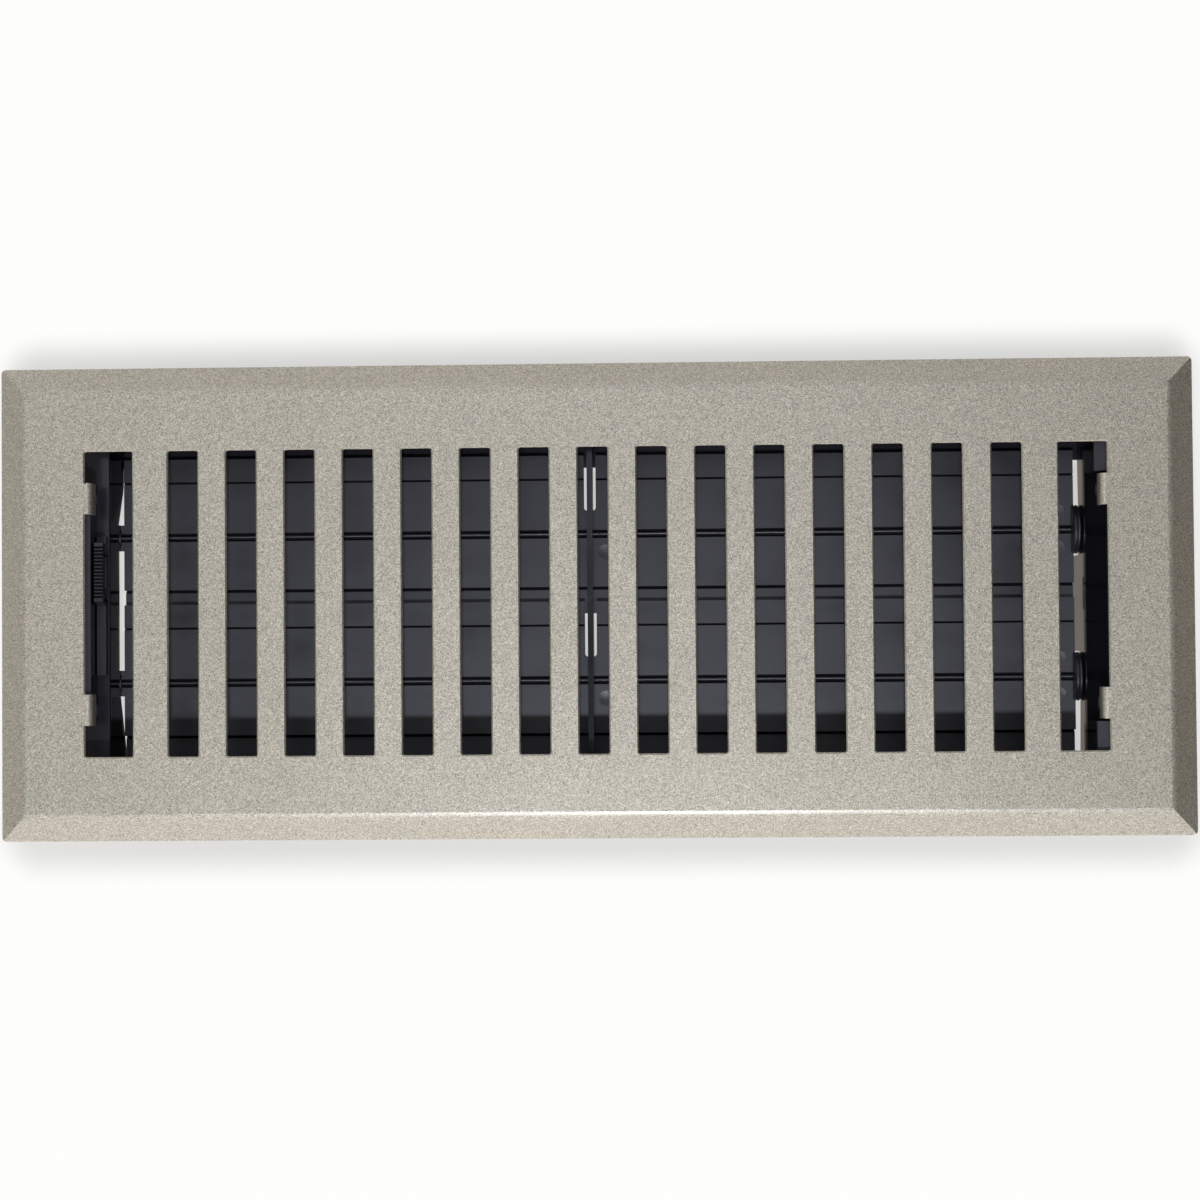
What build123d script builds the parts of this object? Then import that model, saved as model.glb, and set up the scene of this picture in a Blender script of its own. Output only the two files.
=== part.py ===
from build123d import *
import math
import os

# Floor register: a stamped steel faceplate over a moulded damper box. Two louvers in the box are
# opened and shut together by a thumb slider. Sizes are in millimetres. X runs along the faceplate,
# Y across it and Z up out of the floor. The origin is the middle of the faceplate, in the plane of
# the floor that its rim rests on.

# Faceplate
plate_length = 345.0
plate_width = 137.4
sheet = 1.0
plate_rise = 5.0
rim_height = 0.8
bevel_width = 6.8
corner_radius = 1.4
bend_radius = 4.5

# Slots in the faceplate
slot_count = 15
slot_pitch = 16.95
slot_width = 8.6
slot_length = 88.4
end_bar = 10.4
end_slot_width = 13.9
slot_corner_radius = 0.6
slot_edge = 0.4

# Tabs bent down from the outer edges of the two end slots
tab_width = 9.0
tab_spacing = 61.2
tab_reach = 2.2
tab_drop = 4.6
tab_bend_radius = 1.8

# Damper box
box_inner_width = 94.4
box_wall = 2.0
end_wall = 1.6
box_end_margin = 2.8
box_foot_gap = 0.7
rail_edge_inset = 4.9
right_wall_inset = 4.15
rail_drop = 10.0
rail_thickness = 2.0
rail_edge_radius = 0.4
hook_wall = 2.4
hook_wall_side_margin = 0.4
hook_wall_gap = 1.5
hook_tip = 0.4
hook_width = 3.0
hook_height = 1.4
tab_notch_margin = 0.8
lean_drop = 13.0
lean_edge = 0.95
corner_plate = 1.8
tongue_gap = 0.25
bearing_wrap = 1.2
bearing_cheek = 1.27
left_wall_lift = 2.85
left_shoulder_lift = 3.6
left_corner_drop = 4.1
corner_thickening = 0.85
corner_run = 13.0
front_corner_step = 0.5
right_shoulder_lift = 0.3
right_corner_drop = 1.2
corner_lean = 0.9
rib_thickness = 1.6
rib_offset = -1.22
rib_drop = 8.0
rib_root = 3.0
ledge_width = 6.1
ledge_thickness = 2.0
ledge_boss_width = 7.0
ledge_boss_reach = 0.8

# Louvers
louver_thickness = 1.8
louver_overlap = 3.5
louver_bias = -0.2
louver_headroom = 1.5
rear_gap = 3.5
front_gap = 0.4
strip_width = 7.1
lip_width = 7.9
lip_thickness = 1.5
lip_gap = 0.4
riser = 1.6
lip_groove_width = 0.9
lip_groove_depth = 1.0
strip_groove_width = 0.65
strip_groove_depth = 0.9
pivot_groove_width = 0.95
pivot_groove_depth = 1.2
pivot_groove_offset = 0.8
bead_diameter = 0.75
bead_rise = 0.15
spine_width = 5.0
spine_drop = 2.0
louver_left_gap = 1.0
louver_right_gap = 1.56
stub_width = 7.7
stub_gap = 0.25
hub_diameter = 14.5
hub_gap = 0.2
hub_thickness = 2.1
hub_edge = 0.4
hub_groove_width = 0.7
hub_groove_depth = 0.35
journal_diameter = 5.0
journal_clearance = 0.08
notch_width = 3.5
notch_offset = -0.45
notch_floor = 6.95
notch_corner_radius = 1.0
mark_diameter = 4.5
mark_depth = 0.2
mark_end_inset = 4.9
mark_end_offset = 5.4
mark_middle_inset = 4.05
mark_middle_offset = -5.45

# Crank on each louver's left end, and the fork that drives it
swing = 80.0
crank_radius = 9.0
crank_width = 6.0
crank_thickness = 1.6
crank_pin_diameter = 2.8
fork_clearance = 0.4
fork_cheek = 2.4
fork_tip = 1.2
link_thickness = 1.7
link_top_gap = 0.5
link_bridge = 1.6
link_beam = 5.0
side_clearance = 0.3

# Thumb slider
slider_length = 40.6
slider_rear_end = 20.0
foot_thickness = 1.9
foot_setback = 0.8
grip_inset = 0.6
slide_clearance = 0.1
grip_setback = 2.0
grip_length = 17.1
grip_thickness = 2.5
grip_height = 7.0
grip_slope = 1.2
ridge_pitch = 1.03
ridge_depth = 0.9
ridge_land = 0.35
grip_pocket_depth = 0.5
grip_pocket_end = 4.0
grip_pocket_end_depth = 1.5
grip_cap = 1.6
stem_thickness = 1.4
stem_width = 12.0
peg_diameter = 2.4
peg_spacing = 6.0
peg_clearance = 0.05

# Heights and places that follow from the sizes above
under_plate = plate_rise - sheet
end_edge = (slot_count - 1) / 2 * slot_pitch + slot_width / 2 + end_bar + end_slot_width
inner_half = box_inner_width / 2
box_end = end_edge + box_end_margin
tab_face = end_edge - tab_reach
tab_back = tab_face + sheet
hook_face = tab_back + slide_clearance
rail_face = end_edge - rail_edge_inset
right_face = end_edge - right_wall_inset
rail_top = under_plate - rail_drop
rail_bottom = rail_top - rail_thickness
hook_wall_top = under_plate - hook_wall_gap
tab_end = plate_rise - tab_drop
hook_top = tab_end - slide_clearance
hook_bottom = hook_top - hook_height
lean_bottom = under_plate - lean_drop
lean_top = end_edge + lean_edge

louver_pitch = (box_inner_width - rear_gap - front_gap - louver_overlap) / 2
wide_side = (louver_pitch + louver_overlap + louver_bias) / 2
lip_side = louver_pitch + louver_overlap - wide_side
fork_width = crank_pin_diameter + 2 * fork_clearance
link_top = rail_bottom - link_top_gap
swing_depth = wide_side + louver_headroom
crank_depth = under_plate - link_top + link_bridge + fork_width / 2 + crank_radius
pivot_z = under_plate - max(swing_depth, crank_depth)
rear_pivot = inner_half - rear_gap - wide_side
front_pivot = rear_pivot - louver_pitch
lip_reach = math.hypot(lip_side, louver_thickness / 2 + lip_gap + lip_thickness)
box_bottom = pivot_z - lip_reach - box_foot_gap
louver_left = -(rail_face - louver_left_gap)
louver_right = right_face - louver_right_gap
hub_right = right_face - hub_gap
bearing_edge = pivot_z - bearing_wrap
rib_top = under_plate - rib_drop
rib_bottom = pivot_z + notch_floor + louver_thickness / 2
journal_radius = journal_diameter / 2
bearing_radius = journal_radius + journal_clearance
boss = bearing_radius + bearing_cheek

# The moving pieces outside the left wall, from the wall outwards
left_wall_outside = -(rail_face + end_wall)
stem_inside = left_wall_outside - side_clearance
link_inside = stem_inside - stem_thickness
link_outside = link_inside - link_thickness
crank_inside = link_outside - side_clearance
crank_outside = crank_inside - crank_thickness
half_swing = math.radians(swing / 2)
crank_y = crank_radius * math.sin(half_swing)
crank_z = crank_radius * math.cos(half_swing)
slider_travel = 2 * crank_y
fork_top = pivot_z + crank_radius + fork_width / 2
fork_bottom = pivot_z + crank_z - crank_pin_diameter / 2 - fork_tip
slider_front_end = slider_rear_end - slider_length
grip_rear_end = slider_rear_end - grip_setback
grip_front_end = grip_rear_end - grip_length
stem_y = (grip_rear_end + grip_front_end) / 2
foot_bottom = rail_top + slide_clearance
foot_top = rail_top + foot_thickness
foot_face = -(rail_face + foot_setback)
foot_back = -(hook_face - side_clearance)
grip_face = -(rail_face + grip_inset)
grip_back = grip_face - grip_thickness
grip_top = rail_top + grip_height


def block(x0, x1, y0, y1, z0, z1):
    """A box between two values on each axis."""
    middle = Pos((x0 + x1) / 2, (y0 + y1) / 2, (z0 + z1) / 2)
    return middle * Box(abs(x1 - x0), abs(y1 - y0), abs(z1 - z0))


def rod(x0, x1, y, z, radius):
    """A round bar along X."""
    place = Pos((x0 + x1) / 2, y, z) * Rot(0, 90, 0)
    return place * Cylinder(radius, abs(x1 - x0))


def prism_x(x0, x1, points):
    """A prism along X over an outline of (y, z) points."""
    outline = make_face(Polyline([(x0, y, z) for y, z in points], close=True))
    return extrude(outline, x1 - x0, dir=(1, 0, 0))


def prism_y(y0, y1, points):
    """A prism along Y over an outline of (x, z) points."""
    outline = make_face(Polyline([(x, y0, z) for x, z in points], close=True))
    return extrude(outline, y1 - y0, dir=(0, 1, 0))


def dome_profile(half, foot, rim, flat, top, bend):
    """Half of a dome's outline as (across, up) points, with the two ends and the middle of its bend."""
    slope = math.atan2(top - rim, half - flat)
    run = bend * math.tan(slope / 2)
    low = (flat + run * math.cos(slope), top - run * math.sin(slope))
    middle = (flat - run + bend * math.sin(slope / 2), top - bend + bend * math.cos(slope / 2))
    high = (flat - run, top)
    return (half, foot), (half, rim), low, middle, high


def dome_prism(at, way, length, profile):
    """A prism over a dome's outline. at() places the outline, and the prism runs both ways from it."""
    foot, rim, low, middle, high = profile
    lines = [Line(at(-high[0], high[1]), at(*high))]
    for side in (-1, 1):
        points = [at(side * across, up) for across, up in (foot, rim, low, middle, high)]
        lines += [Line(points[0], points[1]), Line(points[1], points[2])]
        lines.append(ThreePointArc(points[2], points[3], points[4]))
    lines.append(Line(at(-foot[0], foot[1]), at(*foot)))
    return extrude(make_face(lines), length, dir=way, both=True)


def dish(inset, corner, foot, rim, flat_inset, top, bend):
    """A low dome: an upright rim, a bevel and a flat top, with rounded corners and a rounded bend."""
    half_x = plate_length / 2 - inset
    half_y = plate_width / 2 - inset
    across = dome_profile(half_y, foot, rim, plate_width / 2 - flat_inset, top, bend)
    along = dome_profile(half_x, foot, rim, plate_length / 2 - flat_inset, top, bend)
    dome = dome_prism(lambda y, z: (0, y, z), (1, 0, 0), half_x, across)
    dome &= dome_prism(lambda x, z: (x, 0, z), (0, 1, 0), half_y, along)
    return dome & extrude(Pos(0, 0, foot) * RectangleRounded(2 * half_x, 2 * half_y, corner), top - foot)


def slot_cutters():
    """One tall cutter for each slot: a wide one at each end and a row of narrow ones between."""
    end_x = end_edge - end_slot_width / 2
    places = [((i - (slot_count - 1) / 2) * slot_pitch, slot_width) for i in range(slot_count)]
    places += [(-end_x, end_slot_width), (end_x, end_slot_width)]
    for x, width in places:
        outline = Pos(x, 0, under_plate - sheet) * RectangleRounded(width, slot_length, slot_corner_radius)
        yield extrude(outline, 3 * sheet)


def bent_tab(side, y):
    """A tongue of the sheet that runs into an end slot and turns down. side is -1 left, 1 right."""
    root = end_edge + sheet
    bend_start = tab_face + tab_bend_radius
    inner_bend = tab_bend_radius - sheet
    middle = math.sqrt(0.5)
    outer_mid = (bend_start - tab_bend_radius * middle, plate_rise - tab_bend_radius * (1 - middle))
    inner_mid = (bend_start - inner_bend * middle, under_plate - inner_bend * (1 - middle))
    bend_foot = plate_rise - tab_bend_radius

    def at(x, z):
        return (side * x, y, z)

    lines = [
        Line(at(root, plate_rise), at(bend_start, plate_rise)),
        ThreePointArc(at(bend_start, plate_rise), at(*outer_mid), at(tab_face, bend_foot)),
        Line(at(tab_face, bend_foot), at(tab_face, tab_end)),
        Line(at(tab_face, tab_end), at(tab_back, tab_end)),
        Line(at(tab_back, tab_end), at(tab_back, bend_foot)),
        ThreePointArc(at(tab_back, bend_foot), at(*inner_mid), at(bend_start, under_plate)),
        Line(at(bend_start, under_plate), at(root, under_plate)),
        Line(at(root, under_plate), at(root, plate_rise)),
    ]
    section = make_face(lines)
    return extrude(section, tab_width / 2, dir=(0, 1, 0), both=True)


def make_faceplate():
    """The stamped plate: a dished sheet with slots, eased slot edges and four bent tabs."""
    slope = math.atan2(plate_rise - rim_height, bevel_width)
    inner_rim = rim_height - sheet / math.cos(slope) + sheet * math.tan(slope)
    inner_flat_inset = sheet + (under_plate - inner_rim) / math.tan(slope)
    outside = dish(0, corner_radius, 0, rim_height, bevel_width, plate_rise, bend_radius)
    inside = dish(
        sheet, corner_radius - sheet, -sheet, inner_rim,
        inner_flat_inset, under_plate, bend_radius - sheet,
    )
    plate = outside - inside
    plate -= list(slot_cutters())

    def on_slot_rim(edge):
        middle = edge.center()
        level = abs(middle.Z - plate_rise) < slot_edge / 10
        inside_x = abs(middle.X) < end_edge + slot_edge
        inside_y = abs(middle.Y) < slot_length / 2 + slot_edge
        return level and inside_x and inside_y

    plate = chamfer(plate.edges().filter_by(on_slot_rim), slot_edge)
    for side in (-1, 1):
        for y in (-tab_spacing / 2, tab_spacing / 2):
            plate += bent_tab(side, y)
    return plate


def hooks(side, upper_x, lower_x):
    """The nubs that reach under the tabs at one end, from a wall given at their top and bottom."""
    tip = tab_face - hook_tip
    for y in (-tab_spacing / 2, tab_spacing / 2):
        yield prism_y(y - hook_width / 2, y + hook_width / 2, [
            (side * upper_x, hook_top), (side * tip, hook_top), (side * lower_x, hook_bottom),
            (side * (upper_x + hook_tip), hook_bottom),
        ])


def bearings(x0, x1):
    """A bore for each louver's journal. The wall's lower edge leaves it open where it snaps in."""
    for y in (rear_pivot, front_pivot):
        yield rod(x0, x1, y, pivot_z, bearing_radius)


def thick_corner(side, pivot_y, step):
    """The thicker end of the left wall beside a long wall. It grows towards its foot and the corner."""
    start = pivot_y + side * boss
    full = start + side * corner_run
    face = -rail_face
    shoulder = pivot_z + left_shoulder_lift
    corner = pivot_z - left_corner_drop
    wedge = prism_y(start, side * inner_half, [
        (face, rail_bottom), (face, corner), (face + corner_thickening, corner),
    ])
    plan = make_face(Polyline([
        (face - end_wall, start, corner), (face + step, start, corner),
        (face + corner_thickening, full, corner), (face + corner_thickening, side * inner_half, corner),
        (face - end_wall, side * inner_half, corner),
    ], close=True))
    wedge &= extrude(plan, rail_bottom - corner, dir=(0, 0, 1))
    foot = prism_x(face, face + corner_thickening, [
        (start, shoulder), (start, corner), (side * inner_half, corner),
    ])
    return wedge - foot


def left_end():
    """The stepped left end: a low wall, the slider's rail on it, and the wall that carries hooks."""
    low = pivot_z + left_wall_lift
    shoulder = pivot_z + left_shoulder_lift
    corner = pivot_z - left_corner_drop
    wall = prism_x(left_wall_outside, -rail_face, [
        (inner_half, rail_top), (inner_half, corner), (rear_pivot + boss, shoulder),
        (rear_pivot + boss, bearing_edge), (rear_pivot - boss, bearing_edge), (rear_pivot - boss, low),
        (front_pivot + boss, low), (front_pivot + boss, bearing_edge),
        (front_pivot - boss, bearing_edge), (front_pivot - boss, shoulder),
        (-inner_half, corner), (-inner_half, rail_top),
    ])
    rail = block(-box_end, -rail_face, -inner_half, inner_half, rail_bottom, rail_top)
    half_hooks = tab_spacing / 2 + tab_width / 2 - hook_wall_side_margin
    hook_outside = -(hook_face + hook_wall)
    upright = block(hook_outside, -hook_face, -half_hooks, half_hooks, rail_bottom, hook_wall_top)
    end = wall + rail + upright
    end += thick_corner(1, rear_pivot, 0)
    end += thick_corner(-1, front_pivot, front_corner_step)
    rail_edges = end.edges().filter_by(Axis.Y).filter_by(
        lambda e: abs(e.center().X + rail_face) < rail_edge_radius / 10 and e.center().Z > rail_bottom
    )
    end = fillet(rail_edges, rail_edge_radius)
    stem_slot = block(
        link_inside - slide_clearance, stem_inside + slide_clearance,
        stem_y - stem_width / 2 - slider_travel - side_clearance,
        stem_y + stem_width / 2 + side_clearance,
        rail_bottom - rail_thickness, rail_top + rail_thickness,
    )
    end -= stem_slot
    end -= list(bearings(left_wall_outside - end_wall, -rail_face + end_wall))
    return end + list(hooks(-1, hook_face, hook_face))


def right_end():
    """The right end: a low wall with a tongue between the hubs, a leaning upper wall and corners."""
    outside = right_face + end_wall
    shoulder = pivot_z + right_shoulder_lift
    corner = pivot_z - right_corner_drop
    tongue_rear = rear_pivot - hub_diameter / 2 - tongue_gap
    tongue_front = front_pivot + hub_diameter / 2 + tongue_gap
    end = prism_x(right_face, outside, [
        (inner_half, lean_bottom), (inner_half, corner), (rear_pivot + boss, shoulder),
        (rear_pivot + boss, bearing_edge), (tongue_rear, bearing_edge), (tongue_rear, box_bottom),
        (tongue_front, box_bottom), (tongue_front, bearing_edge), (front_pivot - boss, bearing_edge),
        (front_pivot - boss, shoulder), (-inner_half, corner), (-inner_half, lean_bottom),
    ])
    end -= list(bearings(right_face - end_wall, outside + end_wall))
    end += prism_y(-inner_half, inner_half, [
        (right_face, lean_bottom), (lean_top, hook_wall_top),
        (lean_top + end_wall, hook_wall_top), (outside, lean_bottom),
    ])
    corner_start = tab_spacing / 2 + tab_width / 2 + tab_notch_margin
    corner_x = right_face + corner_lean
    for side in (-1, 1):
        y0, y1 = sorted((side * corner_start, side * inner_half))
        end += prism_y(y0, y1, [
            (right_face, lean_bottom), (corner_x, hook_wall_top),
            (corner_x + end_wall, hook_wall_top), (outside, lean_bottom),
        ])
        end += block(corner_x, box_end, y0, y1, hook_wall_top - corner_plate, hook_wall_top)
    lean = (lean_top - right_face) / (hook_wall_top - lean_bottom)
    upper_x = right_face + lean * (hook_top - lean_bottom)
    lower_x = right_face + lean * (hook_bottom - lean_bottom)
    return end + list(hooks(1, upper_x, lower_x))


def cross_rib():
    """The web across the middle of the box, above the louvers, with flared roots at both walls."""
    half = rib_thickness / 2
    rib = block(rib_offset - half, rib_offset + half, -inner_half, inner_half, rib_bottom, rib_top)
    for side in (-1, 1):
        root = [
            (rib_offset - half - rib_root / 2, side * inner_half),
            (rib_offset + half + rib_root / 2, side * inner_half),
            (rib_offset + half, side * (inner_half - rib_root)),
            (rib_offset - half, side * (inner_half - rib_root)),
        ]
        flare = make_face(Polyline([(x, y, rib_bottom) for x, y in root], close=True))
        rib += extrude(flare, rib_top - rib_bottom, dir=(0, 0, 1))
    return rib


def make_damper_box():
    """The moulded box: two long walls, two ends, the cross rib and the rear louver's ledge."""
    box = left_end() + right_end() + cross_rib()
    for side in (-1, 1):
        box += block(-box_end, box_end, side * inner_half, side * (inner_half + box_wall),
                     box_bottom, under_plate)
    ledge_top = pivot_z - louver_thickness / 2 - lip_gap
    box += block(-box_end, box_end, inner_half - ledge_width, inner_half,
                 ledge_top - ledge_thickness, ledge_top)
    box += block(rib_offset - ledge_boss_width / 2, rib_offset + ledge_boss_width / 2,
                 inner_half - ledge_width - ledge_boss_reach, inner_half,
                 ledge_top - ledge_thickness, ledge_top)
    return box


def louver_panel():
    """A louver's flat panel with its stepped lip, spine, grooves and bead, about a pivot on the X axis."""
    half = louver_thickness / 2
    step = -(lip_side - lip_width)
    lip_top = -half - lip_gap
    lip_bottom = lip_top - lip_thickness
    section = [
        (wide_side, half), (step, half), (step, lip_top - lip_groove_depth),
        (step - lip_groove_width, lip_top), (-lip_side, lip_top), (-lip_side, lip_bottom),
        (step + riser, lip_bottom), (step + riser, -half), (-spine_width / 2, -half),
        (-spine_width / 4, -half - spine_drop), (spine_width / 4, -half - spine_drop),
        (spine_width / 2, -half), (wide_side, -half),
    ]
    panel = prism_x(louver_left, louver_right, section)
    stub_end = -rail_face + stub_gap
    panel += block(stub_end, louver_left, -stub_width / 2, stub_width / 2, -half, half)
    grooves = [
        (wide_side - strip_width, strip_groove_width, strip_groove_depth),
        (-pivot_groove_offset, pivot_groove_width, pivot_groove_depth),
        (pivot_groove_offset, pivot_groove_width, pivot_groove_depth),
    ]
    for y, width, depth in grooves:
        panel -= prism_x(stub_end, louver_right, [
            (y - width / 2, half), (y, half - depth), (y + width / 2, half),
        ])
    bead_z = half + bead_rise - bead_diameter / 2
    return panel + rod(stub_end, louver_right, 0, bead_z, bead_diameter / 2)


def rib_notch():
    """The cut from a louver's wide edge that lets it swing up past the cross rib."""
    depth = wide_side - notch_floor
    x = rib_offset + notch_offset
    outline = Pos(x, notch_floor + depth) * RectangleRounded(notch_width, 2 * depth, notch_corner_radius)
    return extrude(outline, 2 * louver_thickness, both=True)


def ejector_marks():
    """Shallow round dimples that the mould's pins leave on a louver's upper face."""
    places = [(rib_offset + mark_middle_inset, mark_middle_offset)]
    for x in (louver_left + mark_end_inset, louver_right - mark_end_inset):
        places += [(x, mark_end_offset), (x, -mark_end_offset)]
    ball = (mark_diameter ** 2 / 4 + mark_depth ** 2) / (2 * mark_depth)
    for x, y in places:
        yield Pos(x, y, louver_thickness / 2 + ball - mark_depth) * Sphere(ball)


def hub_disc():
    """The disc at a louver's right end, with eased edges and a groove round the middle of its rim."""
    disc = rod(hub_right - hub_thickness, hub_right, 0, 0, hub_diameter / 2)
    disc = chamfer(disc.edges().filter_by(GeomType.CIRCLE), hub_edge)
    middle = hub_right - hub_thickness / 2
    rim = hub_diameter / 2
    groove = make_face(Polyline([
        (middle - hub_groove_width / 2, rim, 0), (middle, rim - hub_groove_depth, 0),
        (middle + hub_groove_width / 2, rim, 0),
    ], close=True))
    return disc - revolve(groove, Axis.X)


def crank():
    """The journal through the left wall, the arm outside it, and the pin that points back in."""
    journal = rod(crank_outside, -rail_face + stub_gap, 0, 0, journal_radius)
    foot = rod(crank_outside, crank_inside, 0, 0, crank_width / 2)
    head = rod(crank_outside, crank_inside, crank_y, crank_z, crank_width / 2)
    half = crank_width / 2
    across = (half * math.cos(half_swing), -half * math.sin(half_swing))
    bar = prism_x(crank_outside, crank_inside, [
        (across[0], across[1]), (crank_y + across[0], crank_z + across[1]),
        (crank_y - across[0], crank_z - across[1]), (-across[0], -across[1]),
    ])
    pin = rod(crank_inside, link_inside - side_clearance, crank_y, crank_z, crank_pin_diameter / 2)
    return journal + foot + head + bar + pin


def make_louver(pivot_y):
    """One louver, moulded with its hub, journals and crank, shut flat at its pivot."""
    louver = louver_panel() - rib_notch()
    louver -= list(ejector_marks())
    right_journal = rod(louver_right, right_face + end_wall + side_clearance, 0, 0, journal_radius)
    louver = louver + hub_disc() + right_journal + crank()
    return Pos(0, pivot_y, pivot_z) * louver


def make_link_bar():
    """The bar under the rail with a fork, open downwards, over each louver's crank pin."""
    rear_fork = rear_pivot + crank_y
    front_fork = front_pivot + crank_y
    fork_half = fork_width / 2 + fork_cheek
    bar = block(link_outside, link_inside, front_fork - fork_half, rear_fork + fork_half,
                link_top - link_beam, link_top)
    for y in (rear_fork, front_fork):
        bar += block(link_outside, link_inside, y - fork_half, y + fork_half, fork_bottom, link_top)
        bar -= rod(link_outside - link_thickness, link_inside + link_thickness, y,
                   fork_top - fork_width / 2, fork_width / 2)
        bar -= block(link_outside - link_thickness, link_inside + link_thickness,
                     y - fork_width / 2, y + fork_width / 2,
                     fork_bottom - fork_tip, fork_top - fork_width / 2)
    for y in peg_places():
        bar -= rod(link_outside - link_thickness, link_inside + link_thickness, y,
                   link_top - link_beam / 2, peg_diameter / 2 + peg_clearance)
    return bar


def peg_places():
    """Where the two pegs that join the slider's stem to the link bar lie along Y."""
    return stem_y - peg_spacing / 2, stem_y + peg_spacing / 2


def grip():
    """The raised thumb grip: a ridged top, a sloped front end and a recessed inner side."""
    outline = [
        (grip_rear_end, foot_bottom), (grip_rear_end, grip_top), (grip_front_end, grip_top),
        (grip_front_end - grip_slope, foot_top), (grip_front_end - grip_slope, foot_bottom),
    ]
    body = prism_x(grip_back, grip_face, outline)
    ridges = int((grip_length - ridge_pitch) / ridge_pitch)
    first = (grip_rear_end + grip_front_end) / 2 + (ridges - 1) / 2 * ridge_pitch
    half = (ridge_pitch - ridge_land) / 2
    for i in range(ridges):
        y = first - i * ridge_pitch
        body -= prism_x(grip_back - ridge_depth, grip_face + ridge_depth, [
            (y - half, grip_top), (y, grip_top - ridge_depth), (y + half, grip_top),
        ])
    return body


def grip_recess():
    """The shallow recess in the grip's inner side, deeper at both ends and cut through the foot there."""
    low = grip_front_end
    high = grip_rear_end
    roof = grip_top - grip_cap
    yield block(grip_face - grip_pocket_depth, grip_face + grip_thickness, low, high, foot_top, roof)
    for y0, y1 in ((low, low + grip_pocket_end), (high - grip_pocket_end, high)):
        yield block(grip_face - grip_pocket_end_depth, grip_face + grip_thickness, y0, y1,
                    foot_bottom - foot_thickness, roof)


def make_thumb_slider():
    """The slider: a foot on the rail, the grip on it, and a stem down through the rail's slot."""
    foot = block(foot_back, foot_face, slider_front_end, slider_rear_end, foot_bottom, foot_top)
    stem = block(link_inside, stem_inside, stem_y - stem_width / 2, stem_y + stem_width / 2,
                 link_top - link_beam, foot_top)
    slider = foot + grip() - list(grip_recess())
    slider += stem
    for y in peg_places():
        slider += rod(link_inside, link_outside, y, link_top - link_beam / 2, peg_diameter / 2)
    return slider


pieces = {
    "faceplate": make_faceplate(),
    "damper_box": make_damper_box(),
    "rear_louver": make_louver(rear_pivot),
    "front_louver": make_louver(front_pivot),
    "thumb_slider": make_thumb_slider(),
    "link_bar": make_link_bar(),
}

os.makedirs("parts", exist_ok=True)
for name, solid in pieces.items():
    export_step(solid, f"parts/{name}.step")
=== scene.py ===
import math

import bpy
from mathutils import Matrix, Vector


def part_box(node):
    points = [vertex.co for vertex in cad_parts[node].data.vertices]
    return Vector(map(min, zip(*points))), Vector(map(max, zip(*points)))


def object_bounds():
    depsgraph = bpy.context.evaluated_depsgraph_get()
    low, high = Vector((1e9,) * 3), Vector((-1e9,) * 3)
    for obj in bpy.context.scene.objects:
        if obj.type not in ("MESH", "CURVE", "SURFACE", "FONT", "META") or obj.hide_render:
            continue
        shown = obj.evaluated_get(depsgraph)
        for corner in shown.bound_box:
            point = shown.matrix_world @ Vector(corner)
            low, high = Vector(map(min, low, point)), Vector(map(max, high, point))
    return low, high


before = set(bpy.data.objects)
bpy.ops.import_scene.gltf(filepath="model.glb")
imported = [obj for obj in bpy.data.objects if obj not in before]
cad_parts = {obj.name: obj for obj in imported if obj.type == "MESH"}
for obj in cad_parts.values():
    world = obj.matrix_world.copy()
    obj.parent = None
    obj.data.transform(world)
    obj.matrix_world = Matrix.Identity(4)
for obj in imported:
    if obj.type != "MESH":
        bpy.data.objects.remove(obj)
cad_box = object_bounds()

MM = 0.001

# Camera: almost straight down, 0.7 m above the plane of the plate's rim
CAMERA_PLACE = (23.009 * MM, -17.014 * MM, 700.0 * MM)
CAMERA_TURN = (0.024167, 0.030576, -0.008048)
CAMERA_NEAREST = 0.01
CAMERA_FARTHEST = 50.0
PICTURE_WIDTH = 1200
FOCAL_PIXELS = 2420.669
SENSOR_WIDTH = 36.0

# Light: a small lamp at the front, which throws the plate's shadow on the louvers, and a large soft one
# at the back, in a grey studio that is dim overhead, brightest in front and brighter left than right
KEY_TILT = math.radians(26.0)
KEY_DISTANCE = 0.88
KEY_OFFSET = 0.02
KEY_SIZE = 0.04
KEY_POWER = 3.2
FILL_TILT = math.radians(-28.0)
FILL_DISTANCE = 1.0
FILL_OFFSET = -0.1
FILL_SIZE = 0.9
FILL_POWER = 2.3
LAMP_COLOUR = (0.97, 0.98, 1.0)
STUDIO_COLOUR = (1.0, 0.965, 0.91)
STUDIO_OVERHEAD = 0.1
STUDIO_ALONG = (0.14, 1.25)
STUDIO_LEAN = (-0.31, -0.34)

# The middle of a noise's range, where most of its values lie
NOISE_LOW = 0.3
NOISE_HIGH = 0.7

# Satin nickel, with linear colours, and with the scales of its textures per metre
NICKEL_DARK = (0.0896, 0.0832, 0.0728)
NICKEL_COOL = (0.70, 0.715, 0.64)
NICKEL_WARM = (0.84, 0.735, 0.61)
NICKEL_GRAIN = 3900.0
NICKEL_GRAIN_LOW = 0.37
NICKEL_GRAIN_HIGH = 0.63
NICKEL_GRAIN_SHARE = 0.6
NICKEL_GRAIN_DEPTH = 0.08 * MM
NICKEL_FLAKES = 3500.0
NICKEL_FLAKE_SHARE = 0.4
NICKEL_CLOUD = 22.0
NICKEL_SMOOTH = 0.54
NICKEL_ROUGH = 0.6

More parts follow.
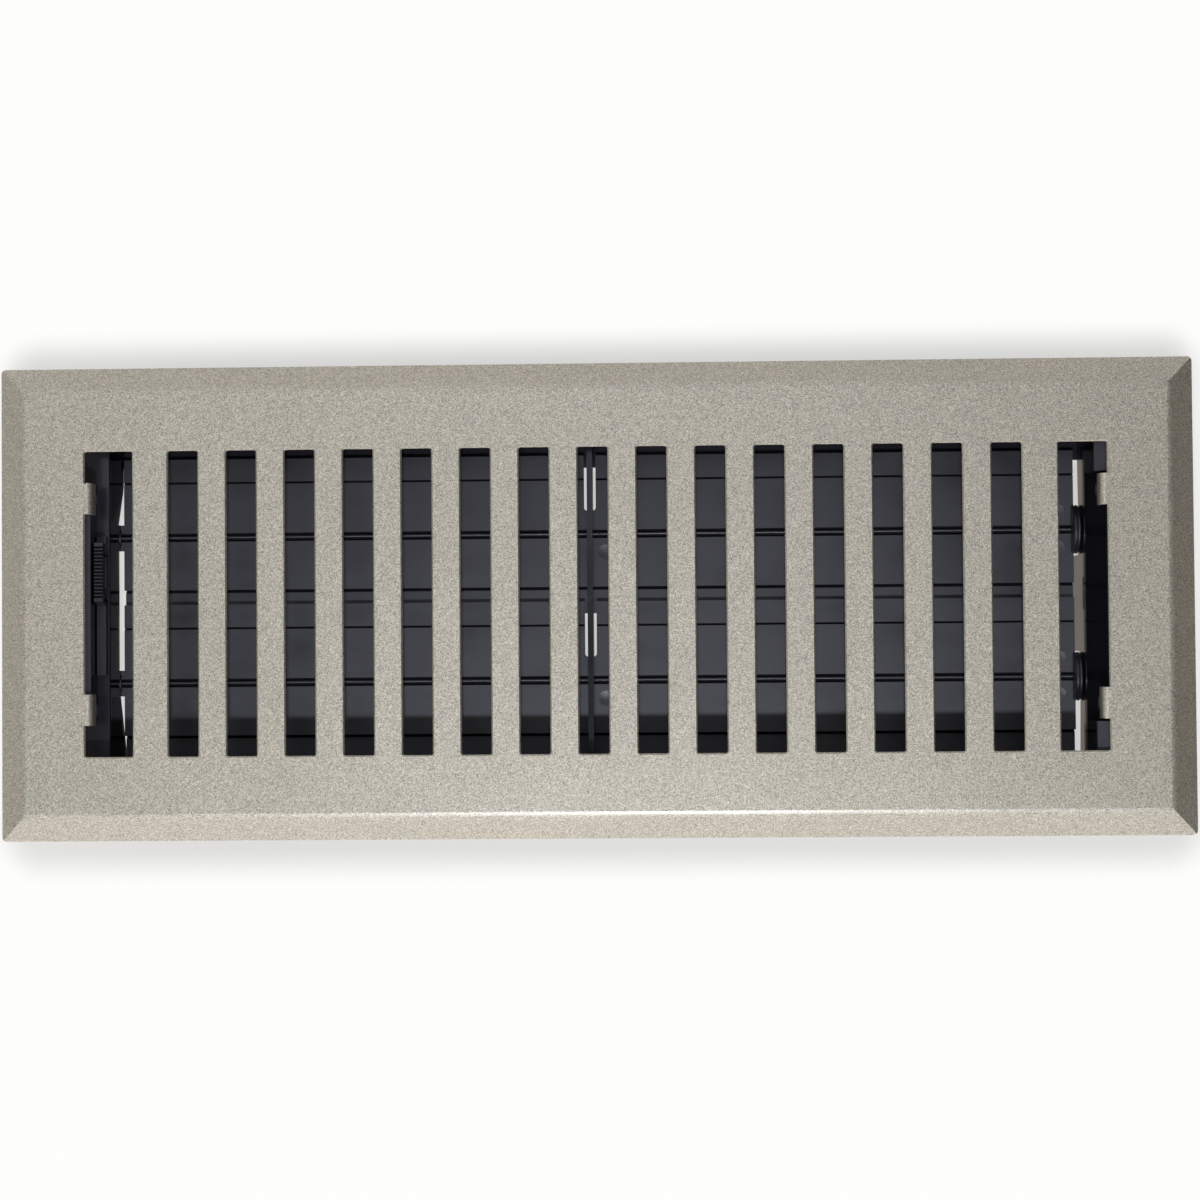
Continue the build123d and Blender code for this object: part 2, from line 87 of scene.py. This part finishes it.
# Black plastics, with linear colours, and with the scales of their textures per metre
BOX_BLACK = (0.019, 0.018, 0.025)
LOUVER_BLACK = (0.016, 0.016, 0.023)
SLIDER_BLACK = (0.020, 0.020, 0.027)
PLASTIC_TINT = (0.88, 0.9, 1.0)
FLOW = 38.0
FLOW_STRETCH = (1.0, 2.5, 2.5)
FLOW_DARK = 0.85
FLOW_PALE = 1.15
FLOW_DEPTH = 0.2 * MM
GRAIN = 1600.0
GRAIN_DEPTH = 0.02 * MM
DUST = 240.0
DUST_LOW = 0.62
DUST_HIGH = 0.85
DUST_COVER = 0.5
DUST_PALE = 2.5

# The box's polished end faces, told by how far they face along X and darkened with painted shade, and its
# matt rims, told by height and made paler with painted light
POLISH_FACING_LOW = 0.5
POLISH_FACING_HIGH = 0.8
POLISH_PAINTED_SHADE = 0.2
POLISH_ROUGHNESS = 0.6
MATT_LOW = 1.0 * MM
MATT_HIGH = 1.1 * MM
MATT_PAINTED_LIGHT = 1.4
MATT_ROUGHNESS = 2.4

# Floor, which glows for the camera and in mirrors, and glows less near the part as painted shade around it,
# and dimmer and warmer in mirrors as painted shade
FLOOR_SIZE = 12.0
FLOOR_DARK = (0.5044, 0.4947, 0.4753)
FLOOR_LIGHT = (0.5356, 0.5253, 0.5047)
FLOOR_CLOUD = 6.0
FLOOR_ROUGHNESS = 0.8
FLOOR_SEEN = (1.0, 1.0, 0.99)
# Painted shade: in mirrors the floor glows dimmer and warmer than seen directly
FLOOR_MIRRORED_PAINTED_SHADE = (1.0, 0.88, 0.8)
# Painted shade: the floor glows less near the part than far off
FLOOR_GLOW = 0.58
FLOOR_GLOW_FAR = 0.98
FLOOR_GLOW_MIRRORED_PAINTED_SHADE = 0.65
FLOOR_FADE_FROM = 5.0 * MM
FLOOR_FADE_TO = 18.0 * MM


def new_material(name):
    """An empty node material and its Principled shader."""
    material = bpy.data.materials.new(name)
    material.use_nodes = True
    nodes = material.node_tree.nodes
    nodes.clear()
    output = nodes.new("ShaderNodeOutputMaterial")
    shader = nodes.new("ShaderNodeBsdfPrincipled")
    material.node_tree.links.new(shader.outputs["BSDF"], output.inputs["Surface"])
    return material, shader


class Graph:
    """Short calls for the nodes that the finishes and the studio below are made of."""

    def __init__(self, owner):
        self.nodes = owner.node_tree.nodes
        self.links = owner.node_tree.links

    def link(self, a, b):
        self.links.new(a, b)

    def coordinates(self, kind):
        return self.nodes.new("ShaderNodeTexCoord").outputs[kind]

    def axes(self, vector):
        node = self.nodes.new("ShaderNodeSeparateXYZ")
        self.link(vector, node.inputs["Vector"])
        return node.outputs

    def stretch(self, vector, scale):
        node = self.nodes.new("ShaderNodeMapping")
        node.inputs["Scale"].default_value = scale
        self.link(vector, node.inputs["Vector"])
        return node.outputs["Vector"]

    def noise(self, vector, scale, detail=3.0, roughness=0.5):
        node = self.nodes.new("ShaderNodeTexNoise")
        node.inputs["Scale"].default_value = scale
        node.inputs["Detail"].default_value = detail
        node.inputs["Roughness"].default_value = roughness
        self.link(vector, node.inputs["Vector"])
        return node.outputs["Fac"]

    def cell_levels(self, vector, scale):
        """Cells with a random colour each, as its three levels."""
        cells = self.nodes.new("ShaderNodeTexVoronoi")
        cells.inputs["Scale"].default_value = scale
        self.link(vector, cells.inputs["Vector"])
        levels = self.nodes.new("ShaderNodeSeparateColor")
        self.link(cells.outputs["Color"], levels.inputs["Color"])
        return levels.outputs

    def span(self, value, low, high, to_low=0.0, to_high=1.0, curve="LINEAR"):
        node = self.nodes.new("ShaderNodeMapRange")
        node.interpolation_type = curve
        node.inputs["From Min"].default_value = low
        node.inputs["From Max"].default_value = high
        node.inputs["To Min"].default_value = to_low
        node.inputs["To Max"].default_value = to_high
        self.link(value, node.inputs["Value"])
        return node.outputs["Result"]

    def math(self, operation, a, b=0.0):
        node = self.nodes.new("ShaderNodeMath")
        node.operation = operation
        for socket, value in zip(node.inputs, (a, b)):
            if isinstance(value, (int, float)):
                socket.default_value = value
            else:
                self.link(value, socket)
        return node.outputs["Value"]

    def mix(self, factor, a, b):
        node = self.nodes.new("ShaderNodeMix")
        node.data_type = "RGBA"
        for socket, value in ((node.inputs[6], a), (node.inputs[7], b)):
            if isinstance(value, tuple):
                socket.default_value = (*value, 1.0)
            else:
                self.link(value, socket)
        self.link(factor, node.inputs["Factor"])
        return node.outputs[2]

    def mix_shaders(self, factor, a, b):
        node = self.nodes.new("ShaderNodeMixShader")
        self.link(factor, node.inputs["Fac"])
        self.link(a, node.inputs[1])
        self.link(b, node.inputs[2])
        return node.outputs["Shader"]

    def bump(self, height, distance, strength, base=None):
        node = self.nodes.new("ShaderNodeBump")
        node.inputs["Distance"].default_value = distance
        node.inputs["Strength"].default_value = strength
        self.link(height, node.inputs["Height"])
        if base is not None:
            self.link(base, node.inputs["Normal"])
        return node.outputs["Normal"]


def shade(colour, factor):
    """A colour made lighter or darker."""
    return tuple(c * factor for c in colour)


def satin_nickel():
    """Sprayed satin nickel: a warm metallic coat with a fine sparkle under a thin clear layer."""
    material, shader = new_material("satin_nickel")
    g = Graph(material)
    place = g.coordinates("Object")
    grain = g.noise(place, NICKEL_GRAIN, detail=2.0, roughness=0.7)
    cloud = g.noise(place, NICKEL_CLOUD)
    flakes = g.cell_levels(place, NICKEL_FLAKES)
    level = g.math(
        "ADD",
        g.span(grain, NICKEL_GRAIN_LOW, NICKEL_GRAIN_HIGH, 0.0, NICKEL_GRAIN_SHARE),
        g.span(flakes["Red"], 0.0, 1.0, 0.0, NICKEL_FLAKE_SHARE),
    )
    pale = g.mix(flakes["Green"], NICKEL_COOL, NICKEL_WARM)
    g.link(g.mix(level, NICKEL_DARK, pale), shader.inputs["Base Color"])
    roughness = g.span(cloud, NOISE_LOW, NOISE_HIGH, NICKEL_SMOOTH, NICKEL_ROUGH)
    g.link(roughness, shader.inputs["Roughness"])
    shader.inputs["Metallic"].default_value = 0.92
    shader.inputs["Coat Weight"].default_value = 1.0
    shader.inputs["Coat Roughness"].default_value = 0.36
    shader.inputs["Coat IOR"].default_value = 2.0
    g.link(g.bump(level, NICKEL_GRAIN_DEPTH, strength=0.5), shader.inputs["Normal"])
    return material


def black_plastic(name, colour, gloss, wave, shine=0.5, polish_and_painted_light=False):
    """Black moulded plastic with faint flow marks, fine grain and a little dust.

    If it is polished, its end faces are mirror-like and darkened with painted shade, and its upper rims are
    left matt and made paler with painted light."""
    material, shader = new_material(name)
    g = Graph(material)
    place = g.coordinates("Object")
    flow = g.noise(g.stretch(place, FLOW_STRETCH), FLOW, detail=4.0, roughness=0.6)
    grain = g.noise(place, GRAIN, detail=2.0)
    dust = g.noise(place, DUST, detail=5.0, roughness=0.65)
    streaks = g.span(flow, NOISE_LOW, NOISE_HIGH)
    body = g.mix(streaks, shade(colour, FLOW_DARK), shade(colour, FLOW_PALE))
    dusty = g.span(dust, DUST_LOW, DUST_HIGH, 0.0, DUST_COVER)
    body = g.mix(dusty, body, shade(colour, DUST_PALE))
    roughness = g.span(flow, NOISE_LOW, NOISE_HIGH, gloss * FLOW_DARK, gloss * FLOW_PALE)
    if polish_and_painted_light:
        facing = g.axes(g.coordinates("Normal"))["X"]
        polished_shaded_ends = g.span(g.math("ABSOLUTE", facing), POLISH_FACING_LOW, POLISH_FACING_HIGH)
        # Painted shade: the end faces are darkened, besides being polished to a lower roughness
        body = g.mix(polished_shaded_ends, body, shade(colour, POLISH_PAINTED_SHADE))
        roughness = g.math("MULTIPLY", roughness, g.span(polished_shaded_ends, 0.0, 1.0, 1.0, POLISH_ROUGHNESS))
        matt_painted_light_rims = g.span(g.axes(place)["Z"], MATT_LOW, MATT_HIGH)
        # Painted light: the upper rims are made paler, besides being rougher
        body = g.mix(matt_painted_light_rims, body, shade(colour, MATT_PAINTED_LIGHT))
        roughness = g.math("MULTIPLY", roughness, g.span(matt_painted_light_rims, 0.0, 1.0, 1.0, MATT_ROUGHNESS))
    g.link(body, shader.inputs["Base Color"])
    g.link(roughness, shader.inputs["Roughness"])
    shader.inputs["Specular IOR Level"].default_value = shine
    shader.inputs["Specular Tint"].default_value = (*PLASTIC_TINT, 1.0)
    fine = g.bump(grain, GRAIN_DEPTH, wave)
    g.link(g.bump(flow, FLOW_DEPTH, wave / 2, fine), shader.inputs["Normal"])
    return material


def dress(node, material):
    """Gives a solid its finish."""
    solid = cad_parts[node]
    solid.data.materials.clear()
    solid.data.materials.append(material)


def distance_off_the_part(g, place):
    """How far a place on the floor is from the rectangle that the part covers."""
    squares = []
    axes = g.axes(place)
    for axis, half in zip("XY", cad_box[1]):
        beyond = g.math("SUBTRACT", g.math("ABSOLUTE", axes[axis]), half)
        beyond = g.math("MAXIMUM", beyond, 0.0)
        squares.append(g.math("MULTIPLY", beyond, beyond))
    return g.math("SQRT", g.math("ADD", *squares))


def floor_material():
    """A plain pale floor that the camera sees paler away from the part, and clear from below. Its weaker
    glow near the part is painted shade, and so is its dimmer, warmer glow in mirrors.

    It keeps the part's shadow."""
    material, shader = new_material("pale_floor")
    g = Graph(material)
    place = g.coordinates("Object")
    cloud = g.noise(place, FLOOR_CLOUD, detail=4.0)
    g.link(g.mix(cloud, FLOOR_DARK, FLOOR_LIGHT), shader.inputs["Base Color"])
    shader.inputs["Roughness"].default_value = FLOOR_ROUGHNESS
    path = g.nodes.new("ShaderNodeLightPath").outputs
    glow = g.nodes.new("ShaderNodeEmission")
    # Painted shade: mirrored rays see the floor's glow warmer and dimmer
    g.link(g.mix(path["Is Glossy Ray"], FLOOR_SEEN, FLOOR_MIRRORED_PAINTED_SHADE), glow.inputs["Color"])
    away = distance_off_the_part(g, place)
    # Painted shade: the glow is weaker near the part, so the floor there shows greyer
    level = g.span(away, FLOOR_FADE_FROM, FLOOR_FADE_TO, FLOOR_GLOW, FLOOR_GLOW_FAR, "SMOOTHSTEP")
    mirrored = g.math("MULTIPLY", path["Is Glossy Ray"], FLOOR_GLOW_MIRRORED_PAINTED_SHADE)
    seen = g.math("MAXIMUM", path["Is Camera Ray"], mirrored)
    seen = g.math("MAXIMUM", seen, path["Is Transmission Ray"])
    above = g.mix_shaders(g.math("MULTIPLY", seen, level), shader.outputs["BSDF"], glow.outputs["Emission"])
    below = g.nodes.new("ShaderNodeBsdfTransparent").outputs["BSDF"]
    from_below = g.nodes.new("ShaderNodeNewGeometry").outputs["Backfacing"]
    output = next(n for n in g.nodes if n.type == "OUTPUT_MATERIAL")
    g.link(g.mix_shaders(from_below, above, below), output.inputs["Surface"])
    return material


def add_floor(level):
    """A wide plain floor under the object."""
    bpy.ops.mesh.primitive_plane_add(size=FLOOR_SIZE, location=(0, 0, level))
    floor = bpy.context.object
    floor.name = "floor"
    floor.data.materials.append(floor_material())


def add_lamp(name, tilt, distance, offset, size, power):
    """A square lamp that leans from straight overhead about X and points at the part's middle line."""
    lamp = bpy.data.lights.new(name, "AREA")
    lamp.shape = "SQUARE"
    lamp.size = size
    lamp.energy = power
    lamp.color = LAMP_COLOUR
    holder = bpy.data.objects.new(name, lamp)
    holder.location = (offset, -distance * math.sin(tilt), distance * math.cos(tilt))
    holder.rotation_euler = (tilt, 0, 0)
    bpy.context.scene.collection.objects.link(holder)


def add_world():
    """A grey studio whose light changes smoothly with direction."""
    world = bpy.data.worlds.new("studio")
    world.use_nodes = True
    g = Graph(world)
    back = g.nodes["Background"]
    back.inputs["Color"].default_value = (*STUDIO_COLOUR, 1.0)
    axes = g.axes(g.coordinates("Generated"))
    level = STUDIO_OVERHEAD
    for axis, along, lean in zip("XY", STUDIO_ALONG, STUDIO_LEAN):
        side = axes[axis]
        level = g.math("ADD", level, g.math("MULTIPLY", g.math("MULTIPLY", side, side), along))
        level = g.math("ADD", level, g.math("MULTIPLY", side, lean))
    g.link(level, back.inputs["Strength"])
    bpy.context.scene.world = world


def add_camera():
    """The photograph's camera."""
    data = bpy.data.cameras.new("camera")
    data.sensor_width = SENSOR_WIDTH
    data.lens = SENSOR_WIDTH * FOCAL_PIXELS / PICTURE_WIDTH
    data.clip_start = CAMERA_NEAREST
    data.clip_end = CAMERA_FARTHEST
    camera = bpy.data.objects.new("camera", data)
    camera.location = CAMERA_PLACE
    camera.rotation_euler = CAMERA_TURN
    bpy.context.scene.collection.objects.link(camera)
    bpy.context.scene.camera = camera


dress("faceplate", satin_nickel())
dress("damper_box", black_plastic("box_plastic", BOX_BLACK, gloss=0.2, wave=0.1, polish_and_painted_light=True))
louver_plastic = black_plastic("louver_plastic", LOUVER_BLACK, gloss=0.42, wave=0.15, shine=1.0)
dress("rear_louver", louver_plastic)
dress("front_louver", louver_plastic)
slider_plastic = black_plastic("slider_plastic", SLIDER_BLACK, gloss=0.38, wave=0.4)
dress("thumb_slider", slider_plastic)
dress("link_bar", slider_plastic)

add_floor(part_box("damper_box")[0][2])
add_lamp("key", KEY_TILT, KEY_DISTANCE, KEY_OFFSET, KEY_SIZE, KEY_POWER)
add_lamp("fill", FILL_TILT, FILL_DISTANCE, FILL_OFFSET, FILL_SIZE, FILL_POWER)
add_world()
add_camera()
bpy.context.scene.view_settings.view_transform = "Standard"
